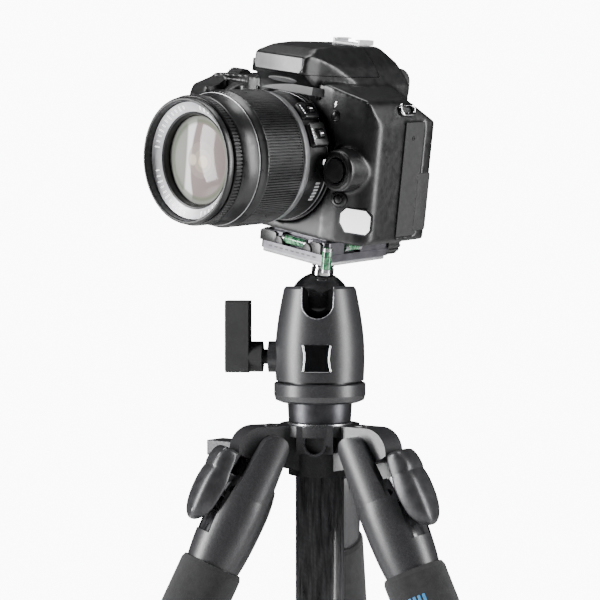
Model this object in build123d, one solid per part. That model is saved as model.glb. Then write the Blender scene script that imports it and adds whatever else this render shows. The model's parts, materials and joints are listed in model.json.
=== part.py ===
from build123d import *
import os
from math import asin, cos, radians, sin

os.makedirs("parts", exist_ok=True)

# Digital single-lens reflex camera on a ball head and a three-legged carbon tripod.
# Millimetres, +Z up. The origin is on the floor, under the axis of the centre column.
# The rear leg points along +Y; the two front legs point to 210 and 330 degrees.

# ---- driving dimensions: stand ----
HEAD_DATUM = 556.0  # height of the head's reference plane above the floor
HUB_TOP = HEAD_DATUM - 69.0
HUB_BOTTOM = HEAD_DATUM - 96.9
HUB_RADIUS = 17.4
HINGE_RADIUS = 31.5  # from the column axis to each leg's hinge
HINGE_HEIGHT = HEAD_DATUM - 81.4
LEG_TILT = 26.5  # lean of each leg from the vertical
LEG_AZIMUTHS = {"a": 210.0, "b": 330.0, "c": 90.0}
BOLT_HEAD_SIDE = {"a": -1, "b": 1, "c": 1}  # the heads sit on the sides that face the rear
CUP_RADIUS = 5.2  # half-round cup in the hub's front boss
CUP_HEIGHT = HUB_TOP - 9.6
ARM_HALF_WIDTH = 8.0
ARM_REACH = 50.0
SLOT_HALF_WIDTH = 8.4
CHEEK_TOP_RADIUS = 7.7
CHEEK_LOW_RADIUS = 10.6
CHEEK_LENGTH = 30.0
YOKE_RADIUS = 16.3
YOKE_TOP = -20.0
YOKE_END = -68.7
PIVOT_BOLT_RADIUS = 3.0
KNOB_AZIMUTH = 150.0

# ---- driving dimensions: legs, measured along the leg from its hinge ----
UPPER_TUBE_RADIUS = 13.5
MIDDLE_TUBE_RADIUS = 12.0
LOWER_TUBE_RADIUS = 10.4
TUBE_WALL = 1.1
TUBE_GAP = 0.4
UPPER_TUBE_END = -470.0
MIDDLE_TUBE_END = -500.0
GRIP_RADIUS = 17.2
GRIP_END = -270.0
UPPER_LOCK = (-476.0, -440.0)
LOWER_LOCK = (-506.0, -480.0)
FOOT_RADIUS = 12.5
FOOT_TOP = -508.0
FOOT_CENTRE = -(HINGE_HEIGHT - FOOT_RADIUS) / cos(radians(LEG_TILT))
LATCH_PIVOT = (11.0, -28.0)
LATCH_PIN_RADIUS = 2.0

# ---- driving dimensions: column and head ----
COLUMN_RADIUS = 13.45
COLUMN_WALL = 1.3
COLUMN_TOP = HEAD_DATUM - 68.6
COLUMN_BOTTOM = HEAD_DATUM - 350.0
PAN_BASE_TOP = HEAD_DATUM - 46.3
PAN_BASE_BOTTOM = HEAD_DATUM - 57.1
PAN_BASE_RADIUS = 25.3
HOUSING_BOTTOM = HEAD_DATUM - 45.1
HOUSING_TOP = HEAD_DATUM + 6.6
BALL_HEIGHT = HEAD_DATUM - 2.4
BALL_RADIUS = 17.0
SOCKET_RADIUS = 17.35
SEAT_INNER_RADIUS = 17.35
SEAT_OUTER_RADIUS = 19.4
SEAT_CAVITY_RADIUS = 19.8
NOTCH_HALF_WIDTH = 8.25
STEM_RADIUS = 6.1
LEVER_HEIGHT = HEAD_DATUM - 32.3
STUD_RADIUS = 4.76  # 3/8 inch tripod thread
HEAD_TURN = 4.0
SIDE_LEAN = 5.81
NOTCH_TILT = 11.73
STEM_TURN = -37.66
CAMERA_SEAT = 44.4  # from the ball's centre to the camera's base
STEM_OFFSET = 5.0  # the stem's axis passes this far in front of the image plane

# ---- driving dimensions: camera, x to its left side, -y forward, z up ----
BODY_LEFT = 54.8
BODY_RIGHT = -74.0
BODY_BACK = 14.4
FLANGE = -44.0
LENS_AXIS_HEIGHT = 39.0
TOP_SEAM = 70.0
SHELL_SEAM = -9.0
HUMP_TOP = 97.0
FLASH_SEAM = 82.6
FLASH_BACK = -4.4
MOVING_GAP = 0.35
GRIP_SLOPE = 33.0  # the grip's top falls forward by this angle

# ---- driving dimensions: lens, measured forward from the flange ----
REAR_BARREL = (0.1, 19.2)
REAR_BARREL_RADIUS = 33.0
ZOOM_RING = (19.6, 49.2)
ZOOM_RING_RADIUS = 34.25
GUIDE_RADIUS = 29.2
INNER_TUBE_RADIUS = 27.8
HOOD_HEAD = (49.6, 60.0)
HOOD_HEAD_RADIUS = 32.3
FOCUS_RING = (60.4, 65.0)
FOCUS_RING_RADIUS = 31.9
LENS_LENGTH = 69.0
FRONT_RIM_RADIUS = 31.1
FILTER_RADIUS = 29.0
FRONT_GLASS_RADIUS = 23.0

BASE = (Align.CENTER, Align.CENTER, Align.MIN)
BIG = 400.0


# ---- shared shapes ----
def rod(radius, low, high):
    return Pos(0, 0, low) * Cylinder(radius, high - low, align=BASE)


def tube(outer, inner, low, high):
    return rod(outer, low, high) - rod(inner, low - 1, high + 1)


def block(x_range, y_range, z_range):
    size = [high - low for low, high in (x_range, y_range, z_range)]
    centre = [(high + low) / 2 for low, high in (x_range, y_range, z_range)]
    return Pos(*centre) * Box(*size)


def cross_rod(radius, x, z, low, high):
    # A rod along Y.
    return Pos(x, low, z) * Rot(-90, 0, 0) * Cylinder(radius, high - low, align=BASE)


def turned(points):
    # A solid of revolution about Z from (radius, height) corners.
    outline = Polyline(*[(radius, 0, height) for radius, height in points], close=True)
    return revolve(make_face(outline), Axis.Z)


def turned_smooth(curve_points, closing_points):
    # A solid of revolution whose outer wall is one smooth curve.
    wall = Spline(*[(radius, 0, height) for radius, height in curve_points])
    closing = [curve_points[-1], *closing_points, curve_points[0]]
    back = Polyline(*[(radius, 0, height) for radius, height in closing])
    return revolve(make_face([wall, back]), Axis.Z)


def side_plate(points, low, high):
    # A plate cut to an outline in the XZ plane, from y = low to y = high.
    outline = Polyline(*[(x, low, z) for x, z in points], close=True)
    return extrude(make_face(outline), amount=high - low, dir=(0, 1, 0))


def rounded_plate(points, radii, plane, depth):
    # A plate with rounded corners, cut to an outline in a named plane.
    outline = FilletPolyline(*points, radius=radii, close=True)
    return extrude(plane * make_face(outline), amount=depth)


def pad_plate(x_range, y_range, z_range, corner):
    # A flat plate with its four upright edges rounded.
    (left, right), (near, far), (low, high) = x_range, y_range, z_range
    corners = [(left, near), (right, near), (right, far), (left, far)]
    return Pos(0, 0, low) * rounded_plate(corners, corner, Plane.XY, high - low)


def ribs(radius, low, high, count, width, depth):
    # Shallow grooves around a ring, as one cutter.
    groove = Pos(radius, 0, (low + high) / 2) * Box(2 * depth, width, high - low)
    return [Rot(0, 0, 360.0 * index / count) * groove for index in range(count)]


# ---- stand: hub with three arms ----
def spider_casting():
    low_hub = rod(HUB_RADIUS, HUB_BOTTOM, HUB_TOP)
    top_disc = rod(22.0, HUB_TOP - 6.0, HUB_TOP)
    front_boss = block((-10.0, 10.0), (-21.0, -12.0), (CUP_HEIGHT - 5.2, HUB_TOP))
    front_boss -= cross_rod(CUP_RADIUS, 0, CUP_HEIGHT, -22.0, -18.6)
    front_boss -= block((-CUP_RADIUS, CUP_RADIUS), (-22.0, -18.6), (CUP_HEIGHT, CUP_HEIGHT + 4.0))
    cup = cross_rod(CUP_RADIUS + 1.2, 0, CUP_HEIGHT, -22.6, -18.0) - cross_rod(CUP_RADIUS, 0, CUP_HEIGHT, -23.0, -17.0)
    front_boss += cup & block((-8.0, 8.0), (-23.0, -17.0), (CUP_HEIGHT - 8.0, CUP_HEIGHT - 0.6))
    knob_boss = Rot(0, 0, KNOB_AZIMUTH) * Pos(12, 0, HUB_TOP - 18) * Rot(0, 90, 0) * rod(6.5, 0, 13)
    casting = low_hub + top_disc + front_boss + knob_boss
    arm_corner = 13.0
    outline = FilletPolyline(
        (10.0, -ARM_HALF_WIDTH, HUB_TOP),
        (ARM_REACH, -ARM_HALF_WIDTH, HUB_TOP),
        (ARM_REACH, -ARM_HALF_WIDTH, HUB_TOP - 13.6),
        (41.0, -ARM_HALF_WIDTH, HUB_TOP - 19.0),
        (10.0, -ARM_HALF_WIDTH, HUB_BOTTOM + 2.0),
        radius=[0, arm_corner, 0, 6.0, 0],
        close=True,
    )
    arm = extrude(make_face(outline), amount=2 * ARM_HALF_WIDTH, dir=(0, 1, 0))
    arm -= cross_rod(PIVOT_BOLT_RADIUS, HINGE_RADIUS, HINGE_HEIGHT, -9, 9)
    for azimuth in LEG_AZIMUTHS.values():
        casting += Rot(0, 0, azimuth) * arm
    casting -= rod(COLUMN_RADIUS + MOVING_GAP, HUB_BOTTOM - 1, HUB_TOP + 1)
    casting -= Rot(0, 0, KNOB_AZIMUTH) * Pos(10, 0, HUB_TOP - 18) * Rot(0, 90, 0) * rod(3.05, 0, 17)
    return casting


def leg_pivot_bolts():
    bolts = []
    for name, azimuth in LEG_AZIMUTHS.items():
        shaft = cross_rod(PIVOT_BOLT_RADIUS, 0, 0, -14.2, 14.8)
        head = cross_rod(4.7, 0, 0, 14.8, 16.2) - cross_rod(2.0, 0, 0, 15.4, 17.0)
        bolt = shaft + head
        if BOLT_HEAD_SIDE[name] < 0:
            bolt = Rot(0, 0, 180) * bolt
        bolts.append(Rot(0, 0, azimuth) * Pos(HINGE_RADIUS, 0, HINGE_HEIGHT) * bolt)
    return Compound(children=bolts)


def column_lock_knob():
    # A clamp screw with a bar handle, between the left and the rear leg.
    shank = rod(3.0, 15.0, 40.0)
    collar = rod(6.0, 26.0, 36.0)
    bar = block((-4.0, 5.0), (-7.0, 7.0), (36.0, 78.0))
    return Rot(0, 0, KNOB_AZIMUTH) * Pos(0, 0, HUB_TOP - 18) * Rot(0, 90, 0) * (shank + collar + bar)


# ---- legs, built hanging straight down from the hinge, then leaned out ----
def leg_frame(azimuth):
    return Rot(0, 0, azimuth) * Pos(HINGE_RADIUS, 0, HINGE_HEIGHT) * Rot(0, -LEG_TILT, 0)


def leg_yoke(head_side):
    flare = asin((CHEEK_LOW_RADIUS - CHEEK_TOP_RADIUS) / CHEEK_LENGTH)
    top_x = CHEEK_TOP_RADIUS * cos(flare)
    top_z = CHEEK_TOP_RADIUS * sin(flare)
    low_x = CHEEK_LOW_RADIUS * cos(flare)
    low_z = -CHEEK_LENGTH + CHEEK_LOW_RADIUS * sin(flare)
    dome = ThreePointArc((-top_x, -20, top_z), (0, -20, CHEEK_TOP_RADIUS), (top_x, -20, top_z))
    sides = Polyline((top_x, -20, top_z), (low_x, -20, low_z), (-low_x, -20, low_z), (-top_x, -20, top_z))
    cheeks = extrude(make_face([dome, sides]), amount=40, dir=(0, 1, 0))
    cheeks &= rod(YOKE_RADIUS, -60, 20)
    barrel = turned_smooth(
        [(14.6, YOKE_TOP), (16.0, -27.0), (16.6, -45.0), (15.9, -60.0), (14.9, YOKE_END)],
        [(0, YOKE_END), (0, YOKE_TOP)],
    )
    yoke = cheeks + barrel
    slot = block((-BIG, BIG), (-SLOT_HALF_WIDTH, SLOT_HALF_WIDTH), (YOKE_TOP, 30))
    latch_pocket = block((3.5, 30), (-SLOT_HALF_WIDTH, SLOT_HALF_WIDTH), (-36.0, 30))
    finger_scoop = block((12.5, 30), (-9.4, 9.4), (-54.0, -33.0))
    yoke -= slot
    yoke -= latch_pocket
    yoke -= finger_scoop
    yoke -= rod(UPPER_TUBE_RADIUS + 0.02, -80, -41)
    bolt_bore = cross_rod(PIVOT_BOLT_RADIUS + 0.06, 0, 0, -14.5, 20)
    head_recess = cross_rod(5.0, 0, 0, 14.6, 20)
    recess = bolt_bore + head_recess
    if head_side < 0:
        recess = Rot(0, 0, 180) * recess
    yoke -= recess
    yoke -= cross_rod(LATCH_PIN_RADIUS + 0.06, *LATCH_PIVOT, -11.0, 11.0)
    return yoke


def leg_latch():
    x, z = LATCH_PIVOT
    outline = [
        (18.4, -9.6), (23.6, -8.8), (25.8, -14.5), (26.4, -22.0), (28.2, -31.0), (27.8, -41.0),
        (23.8, -50.6), (20.6, -49.0), (17.8, -28.0),
    ]
    corners = [1.5, 2.2, 2.5, 3.0, 4.0, 4.0, 1.4, 1.4, 6.0]
    paddle = Pos(0, 9.0, 0) * rounded_plate(outline, corners, Plane.XZ, 18.0)
    lug = side_plate([(18.5, -20.0), (18.5, -35.0), (x, z - 4.0), (x, z + 4.0)], -7.9, 7.9)
    eye = cross_rod(4.0, x, z, -7.9, 7.9)
    pin = cross_rod(LATCH_PIN_RADIUS, x, z, -10.8, 10.8)
    return paddle + lug + eye + pin


def leg_upper_tube():
    return tube(UPPER_TUBE_RADIUS, UPPER_TUBE_RADIUS - TUBE_WALL, UPPER_TUBE_END, -41.5)


def leg_grip():
    return turned(
        [
            (UPPER_TUBE_RADIUS + 0.02, YOKE_END - 0.1), (16.2, YOKE_END - 0.1), (GRIP_RADIUS, YOKE_END - 2.5),
            (GRIP_RADIUS, GRIP_END + 3.0), (16.0, GRIP_END), (UPPER_TUBE_RADIUS + 0.02, GRIP_END),
        ]
    )


def leg_lock(span, upper_radius, lower_radius, step, outer):
    # A twist collar: its mouth rides over the wider tube, its lower lip over the thinner one.
    low, high = span
    ring = turned(
        [
            (lower_radius, low), (outer - 1.5, low), (outer, low + 2.0), (outer, high - 3.0),
            (outer - 1.6, high), (upper_radius, high), (upper_radius, step), (lower_radius, step),
        ]
    )
    return ring - ribs(outer, low + 4.0, high - 6.0, 12, 1.6, 0.6)


def leg_foot():
    dome = Pos(0, 0, FOOT_CENTRE) * Sphere(FOOT_RADIUS)
    boot = rod(FOOT_RADIUS, FOOT_CENTRE, FOOT_TOP - 2.0) + rod(FOOT_RADIUS - 1.0, FOOT_CENTRE, FOOT_TOP)
    return dome + boot - rod(LOWER_TUBE_RADIUS + 0.02, -513.0, FOOT_TOP + 8.0)


def leg_parts(name, azimuth):
    shapes = {
        "yoke": leg_yoke(BOLT_HEAD_SIDE[name]),
        "upper_tube": leg_upper_tube(),
        "grip": leg_grip(),
        "latch": leg_latch(),
        "upper_lock": leg_lock(
            UPPER_LOCK, UPPER_TUBE_RADIUS + TUBE_GAP, MIDDLE_TUBE_RADIUS + TUBE_GAP, UPPER_TUBE_END - 0.4, 17.0
        ),
        "middle_tube": tube(MIDDLE_TUBE_RADIUS, MIDDLE_TUBE_RADIUS - TUBE_WALL, MIDDLE_TUBE_END, -80.0),
        "lower_lock": leg_lock(
            LOWER_LOCK, MIDDLE_TUBE_RADIUS + TUBE_GAP, LOWER_TUBE_RADIUS + TUBE_GAP, MIDDLE_TUBE_END - 0.4, 15.6
        ),
        "lower_tube": tube(LOWER_TUBE_RADIUS, LOWER_TUBE_RADIUS - TUBE_WALL, -513.0, -110.0),
        "foot": leg_foot(),
    }
    place = leg_frame(azimuth)
    return {f"leg_{name}_{part}": place * shape for part, shape in shapes.items()}


# ---- column ----
def column_tube():
    return tube(COLUMN_RADIUS, COLUMN_RADIUS - COLUMN_WALL, COLUMN_BOTTOM, COLUMN_TOP)


def column_top_plate():
    plug_radius = COLUMN_RADIUS - COLUMN_WALL - 0.02
    return turned(
        [
            (0, COLUMN_TOP - 24.0), (plug_radius, COLUMN_TOP - 24.0), (plug_radius, COLUMN_TOP),
            (16.4, COLUMN_TOP), (17.3, COLUMN_TOP + 1.2), (17.9, PAN_BASE_BOTTOM),
            (STUD_RADIUS, PAN_BASE_BOTTOM), (STUD_RADIUS, PAN_BASE_BOTTOM + 8.0), (0, PAN_BASE_BOTTOM + 8.0),
        ]
    )


def column_hook():
    # A weight hook screwed into the column's foot.
    cap_low = COLUMN_BOTTOM - 8.0
    cap = rod(COLUMN_RADIUS, cap_low, COLUMN_BOTTOM) + rod(12.1, COLUMN_BOTTOM, COLUMN_BOTTOM + 12.0)
    shank = rod(2.2, cap_low - 8.0, cap_low)
    ring = Pos(0, 0, cap_low - 15.0) * Rot(90, 0, 0) * Torus(8.0, 2.2)
    gap = block((4.0, 14.0), (-3.0, 3.0), (cap_low - 14.0, cap_low - 6.0))
    return cap + shank + (ring - gap)


# ---- ball head, turned on the column ----
def head_frame():
    return Rot(0, 0, HEAD_TURN)


def ball_frame():
    # Carries a shape built about the ball's centre to the stem's resting direction.
    return (
        Rot(0, 0, HEAD_TURN)
        * Pos(0, 0, BALL_HEIGHT)
        * Rot(0, SIDE_LEAN, 0)
        * Rot(NOTCH_TILT, 0, 0)
        * Rot(0, 0, STEM_TURN)
    )


def camera_frame():
    return ball_frame() * Pos(0, STEM_OFFSET, CAMERA_SEAT)


def pan_base():
    ring = turned(
        [
            (STUD_RADIUS + 0.02, PAN_BASE_BOTTOM), (21.3, PAN_BASE_BOTTOM), (24.4, PAN_BASE_BOTTOM + 1.3),
            (PAN_BASE_RADIUS, PAN_BASE_BOTTOM + 4.2), (PAN_BASE_RADIUS, PAN_BASE_TOP - 0.6),
            (PAN_BASE_RADIUS - 0.6, PAN_BASE_TOP), (20.5, PAN_BASE_TOP), (20.5, HOUSING_BOTTOM - 0.05),
            (9.0, HOUSING_BOTTOM - 0.05), (9.0, HOUSING_BOTTOM + 16.0), (STUD_RADIUS + 0.02, HOUSING_BOTTOM + 16.0),
        ]
    )
    return ring


def ball_housing():
    wall = [
        (24.3, HOUSING_BOTTOM), (24.7, HEAD_DATUM - 33.5), (24.4, HEAD_DATUM - 23.4),
        (23.1, HEAD_DATUM - 11.9), (21.6, HEAD_DATUM - 3.1), (19.9, HOUSING_TOP - 1.4),
    ]
    housing = turned_smooth(wall, [(18.8, HOUSING_TOP), (0, HOUSING_TOP), (0, HOUSING_BOTTOM)])
    lever_boss = Pos(-20.0, 0, LEVER_HEIGHT) * Rot(0, -90, 0) * rod(8.65, 0, 8.3)
    housing += lever_boss
    housing -= Pos(0, 0, BALL_HEIGHT) * Sphere(SOCKET_RADIUS)
    seat_cavity = Pos(0, 0, BALL_HEIGHT) * Sphere(SEAT_CAVITY_RADIUS)
    housing -= seat_cavity & rod(30, BALL_HEIGHT - 30, BALL_HEIGHT - 4.8)
    notch = block((-NOTCH_HALF_WIDTH, NOTCH_HALF_WIDTH), (-40, 0), (BALL_HEIGHT, HOUSING_TOP + 5))
    notch += cross_rod(NOTCH_HALF_WIDTH, 0, BALL_HEIGHT, -40, 0)
    housing -= notch
    housing -= rod(9.06, HOUSING_BOTTOM - 1, HOUSING_BOTTOM + 16.4)
    housing -= Pos(-10.0, 0, LEVER_HEIGHT) * Rot(0, -90, 0) * rod(3.06, 0, 20)
    return head_frame() * housing


def ball_seat():
    # The pressure cup under the ball.
    shell = Sphere(SEAT_OUTER_RADIUS) - Sphere(SEAT_INNER_RADIUS)
    cup = shell & turned([(0, 0), (0, -25), (22.5, -25)])
    return Rot(0, 0, HEAD_TURN) * Pos(0, 0, BALL_HEIGHT) * Rot(0, SIDE_LEAN, 0) * cup


def ball():
    return ball_frame() * (Sphere(BALL_RADIUS) - rod(5.06, -6.0, 20.0))


def ball_stem():
    # A polished neck with two turned grooves, flaring into the platform.
    neck = turned(
        [
            (0, -5.8), (5.0, -5.8), (5.0, 16.5), (STEM_RADIUS, 16.5), (STEM_RADIUS, 19.6), (5.5, 19.9),
            (5.5, 20.7), (STEM_RADIUS, 21.0), (STEM_RADIUS, 22.4), (5.5, 22.7), (5.5, 23.5),
            (STEM_RADIUS, 23.8), (STEM_RADIUS, 26.4), (9.5, 29.3), (0, 29.3),
        ]
    )
    return ball_frame() * neck


def lock_lever():
    shank = rod(3.0, 22.0, 31.6)
    neck = rod(4.15, 28.6, 31.8)
    hub = rod(8.5, 31.6, 41.0)
    arm = rounded_plate([(-8.5, -8.6), (8.5, -8.6), (8.5, 31.1), (-8.5, 31.1)], [3, 3, 1.6, 1.6], Plane.XY, 13.0)
    handle = shank + neck + hub + Pos(0, 0, 38.8) * arm
    upright = Rot(0, -90, 0) * Rot(0, 0, -90) * handle
    return head_frame() * Pos(0, 0, LEVER_HEIGHT) * upright


# ---- platform, in the camera's own frame ----
def clamp_body():
    plate = pad_plate((-24.5, 24.5), (-31.0, 21.0), (-15.0, -11.0), 3.0)
    jaw = pad_plate((-24.0, 24.0), (-30.4, 20.4), (-11.0, -4.6), 3.0)
    body = plate + jaw
    body -= block((-20.2, 20.2), (-24.2, 16.2), (-9.0, 0))
    body -= block((-8.6, 10.6), (-32.0, -26.4), (-11.0, -3.0))
    body -= block((20.8, 26.0), (-16.6, -3.4), (-11.0, -3.0))
    body -= Pos(26.0, -32.5, 0) * rod(4.6, -20.0, 0)
    body -= Pos(15.0, 21.5, -9.8) * Rot(90, 0, 0) * rod(3.1, -1, 9.0)
    return camera_frame() * body


def clamp_knob():
    # A ribbed thumb knob on a screw at the platform's rear.
    knob = rod(7.4, 1.0, 11.5) - ribs(7.4, 2.0, 12.0, 16, 1.1, 0.7)
    screw = rod(3.0, -5.2, 1.2)
    return camera_frame() * Pos(15.0, 21.4, -9.8) * Rot(-90, 0, 0) * (knob + screw)


def quick_plate():
    top = pad_plate((-21.5, 21.5), (-26.0, 17.5), (-4.5, -0.05), 3.0)
    foot = block((-20.0, 20.0), (-24.0, 16.0), (-8.9, -4.5))
    return camera_frame() * (top + foot)


def spirit_levels():
    front = Pos(1.0, -28.9, -7.8) * Rot(0, 90, 0) * Cylinder(2.3, 18.0)
    side = Pos(23.2, -10.0, -7.8) * Rot(90, 0, 0) * Cylinder(2.1, 12.4)
    corner = Pos(25.6, -31.6, 0) * rod(2.6, -19.0, -6.0)
    return camera_frame() * Compound(children=[front, side, corner])


# ---- camera ----
def camera_solid():
    plan = [
        (BODY_LEFT, BODY_BACK), (BODY_LEFT, -37.0), (38.0, -42.0), (30.0, FLANGE + 0.4), (-30.0, FLANGE + 0.4),
        (-38.0, -40.0), (-41.0, -48.0), (-50.0, -53.5), (-66.0, -52.5), (-73.6, -40.0), (BODY_RIGHT, BODY_BACK),
    ]
    plan_radii = [7.0, 9.0, 8.0, 2.5, 2.5, 3.0, 4.0, 6.0, 7.0, 10.0, 8.0]
    footprint = rounded_plate(plan, plan_radii, Plane.XY, 90.0)
    front_view = [
        (BODY_LEFT, 0), (BODY_LEFT, 62.0), (50.0, 73.0), (26.0, 79.0), (-36.0, 76.6), (-62.0, 75.0),
        (BODY_RIGHT, 65.0), (BODY_RIGHT, 0),
    ]
    outline = rounded_plate(front_view, [3.0, 8.0, 6.0, 12.0, 12.0, 5.0, 6.0, 3.0], Plane.XZ, 140.0)
    trunk = footprint & (Pos(0, 70, 0) * outline)
    grip_slope = side_plate([(-BIG, 73.0), (-BIG, 120.0), (-32.0, 120.0), (-32.0, 73.0)], -80, -38)
    trunk -= Pos(0, -38, 73.0) * Rot(GRIP_SLOPE, 0, 0) * Pos(0, 38, -73.0) * grip_slope
    shoulder = Plane(origin=(26.0, BODY_BACK, 73.6), z_dir=(0.45, 0.467, 1.0)) * Box(200, 200, 60, align=BASE)
    trunk -= shoulder & block((20.0, 90.0), (-90, 90), (40, 160))
    hump_side = [
        (-43.6, 64.0), (-46.0, 76.0), (-53.0, 83.0), (-52.2, 91.0), (-42.0, 95.6), (-30.0, HUMP_TOP),
        (9.0, HUMP_TOP), (15.5, 90.0), (17.9, 82.0), (17.9, 64.0),
    ]
    hump_radii = [0, 4.0, 1.5, 1.5, 6.0, 10.0, 4.0, 4.0, 2.0, 0]
    hump = Pos(-40, 0, 0) * rounded_plate(hump_side, hump_radii, Plane.YZ, 80.0)
    hump_front = [(36.0, 64.0), (30.0, 78.0), (23.0, 88.0), (13.0, 97.5), (-13.0, 97.5), (-23.0, 88.0)]
    hump_front += [(-30.0, 78.0), (-36.0, 64.0)]
    hump &= Pos(0, 60, 0) * rounded_plate(hump_front, [0, 9, 9, 5, 5, 9, 9, 0], Plane.XZ, 130.0)
    hump_plan = [(17.5, -54.0), (20.5, -44.0), (30.0, -22.0), (30.0, 20.0), (-30.0, 20.0), (-30.0, -22.0)]
    hump_plan += [(-20.5, -44.0), (-17.5, -54.0)]
    hump &= rounded_plate(hump_plan, [3, 6, 9, 3, 3, 9, 6, 3], Plane.XY, 120.0)
    mount_boss = Pos(0, FLANGE + 1.0, LENS_AXIS_HEIGHT) * Rot(-90, 0, 0) * rod(36.5, 0, 14)
    release_bump = release_frame() * rod(10.6, 0.0, 20.0)
    release_bump -= Pos(0, -60, LENS_AXIS_HEIGHT) * Rot(-90, 0, 0) * rod(34.9, 0, 15.9)
    return trunk + hump + mount_boss + release_bump


def camera_cavities():
    # Everything that is let into the shells: the throat, dials, buttons and the port door.
    throat = Pos(0, FLANGE - 1, LENS_AXIS_HEIGHT) * Rot(-90, 0, 0) * rod(27.0, 0, 24)
    mount_seat = Pos(0, FLANGE - 3, LENS_AXIS_HEIGHT) * Rot(-90, 0, 0) * rod(34.3, 0, 6.5)
    release_well = release_frame() * rod(6.35, -3.0, 5.6)
    shutter_well = shutter_frame() * rod(5.85, -6.5, 12.0)
    mode_well = mode_dial_frame() * rod(3.06, -8.0, 6.0)
    wheel_well = control_dial_frame() * Cylinder(7.0, 9.8)
    port_well = block((BODY_LEFT - 1.75, BODY_LEFT + 2), (-13.0, 2.5), (3.2, 63.0))
    return [throat, mount_seat, release_well, shutter_well, mode_well, wheel_well, port_well]


def release_frame():
    # The lens release's boss, from its front face backwards.
    return Pos(42.4, -50.0, LENS_AXIS_HEIGHT - 1) * Rot(-90, 0, 0)


def shutter_frame():
    return Pos(-52.0, -45.0, 68.6) * Rot(GRIP_SLOPE, 0, 0)


def control_dial_frame():
    return Pos(-52.0, -28.5, 72.0) * Rot(0, 90, 0)


def mode_dial_frame():
    return Pos(-48.0, -8.0, 76.4)


def camera_shells():
    body = camera_solid() - camera_cavities()
    flash_zone = block((-60, 60), (-90, FLASH_BACK), (FLASH_SEAM, 130))
    flash_room = block((-60, 60), (-90, FLASH_BACK + MOVING_GAP), (FLASH_SEAM - MOVING_GAP, 130))
    below = block((-90, 90), (-90, 90), (-1, TOP_SEAM))
    above = block((-90, 90), (-90, 90), (TOP_SEAM, 130))
    ahead = block((-90, 90), (-90, SHELL_SEAM), (-1, 130))
    behind = block((-90, 90), (SHELL_SEAM, 90), (-1, 130))
    pieces = {
        "front_shell": body & below & ahead,
        "rear_shell": body & below & behind,
        "top_cover": (body & above) - flash_room,
        "flash_head": body & flash_zone,
    }
    return pieces


def hot_shoe():
    floor = block((-9.5, 9.5), (-2.4, 12.0), (HUMP_TOP + 0.02, HUMP_TOP + 0.7))
    rails = [
        block((8.3, 9.5), (-2.4, 12.0), (HUMP_TOP + 0.7, HUMP_TOP + 2.8)),
        block((6.4, 9.5), (-2.4, 12.0), (HUMP_TOP + 2.2, HUMP_TOP + 2.8)),
    ]
    shoe = floor
    for rail in rails:
        shoe += rail
        shoe += Rot(0, 0, 180) * Pos(0, -9.6, 0) * rail
    keep = block((-12, 12), (-2.4, 9.0), (90, 110))
    return shoe & keep


def eyecup():
    outline = [(-25.0, 69.5), (25.0, 69.5), (25.0, 86.0), (-25.0, 86.0)]
    window = [(-17.0, 73.0), (17.0, 73.0), (17.0, 82.5), (-17.0, 82.5)]
    rim = rounded_plate(outline, [5, 5, 7, 7], Plane.XZ, 5.6)
    hole = Pos(0, 1, 0) * rounded_plate(window, [3, 3, 4, 4], Plane.XZ, 8.0)
    return Pos(0, 23.6, 0) * (rim - hole)


def shutter_button():
    return shutter_frame() * (rod(5.4, -2.6, 3.4) + rod(2.0, -4.4, -2.6))


def mode_dial():
    dial = rod(10.6, 0.6, 7.2) - ribs(10.6, 1.2, 8.0, 36, 0.9, 0.5)
    return mode_dial_frame() * (dial + rod(3.0, -7.0, 0.8))


def control_dial():
    wheel = rod(6.4, -4.4, 4.4) - ribs(6.4, -5.0, 5.0, 24, 0.8, 0.5)
    return control_dial_frame() * wheel


def release_button():
    return release_frame() * rod(6.0, -0.8, 3.4)


def port_cover():
    return block((BODY_LEFT - 1.6, BODY_LEFT), (-12.65, 2.15), (3.55, 62.65))


def lens_mount_ring():
    ring = tube(34.0, 27.6, 0.05, 3.4)
    return Pos(0, FLANGE, LENS_AXIS_HEIGHT) * Rot(-90, 0, 0) * ring


# ---- lens, built along +Z from the flange, then laid forward ----
def lens_frame():
    return Pos(0, FLANGE, LENS_AXIS_HEIGHT) * Rot(90, 0, 0)


def lens_barrel():
    low, high = REAR_BARREL
    barrel = turned(
        [
            (27.2, low), (31.6, low), (32.2, low + 1.6), (REAR_BARREL_RADIUS, low + 4.0),
            (REAR_BARREL_RADIUS, high - 0.6), (REAR_BARREL_RADIUS - 0.6, high), (GUIDE_RADIUS, high),
            (GUIDE_RADIUS, ZOOM_RING[1] - 1.0), (GUIDE_RADIUS - 1.0, ZOOM_RING[1] - 1.0), (GUIDE_RADIUS - 1.0, low + 4),
            (27.2, low + 3),
        ]
    )
    pad = block((30.0, 35.6), (-11.0, 11.0), (low + 2.6, high - 0.9))
    pad -= rod(REAR_BARREL_RADIUS - 0.4, -1, 40)
    return barrel + Rot(0, 0, 38) * pad


def zoom_ring():
    low, high = ZOOM_RING
    ring = turned(
        [
            (GUIDE_RADIUS + 0.4, low), (ZOOM_RING_RADIUS - 0.8, low), (ZOOM_RING_RADIUS, low + 0.8),
            (ZOOM_RING_RADIUS, high - 1.2), (ZOOM_RING_RADIUS - 1.2, high), (GUIDE_RADIUS + 0.4, high),
        ]
    )
    return ring - ribs(ZOOM_RING_RADIUS, low + 5.0, high - 4.0, 48, 1.3, 0.6)


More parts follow.
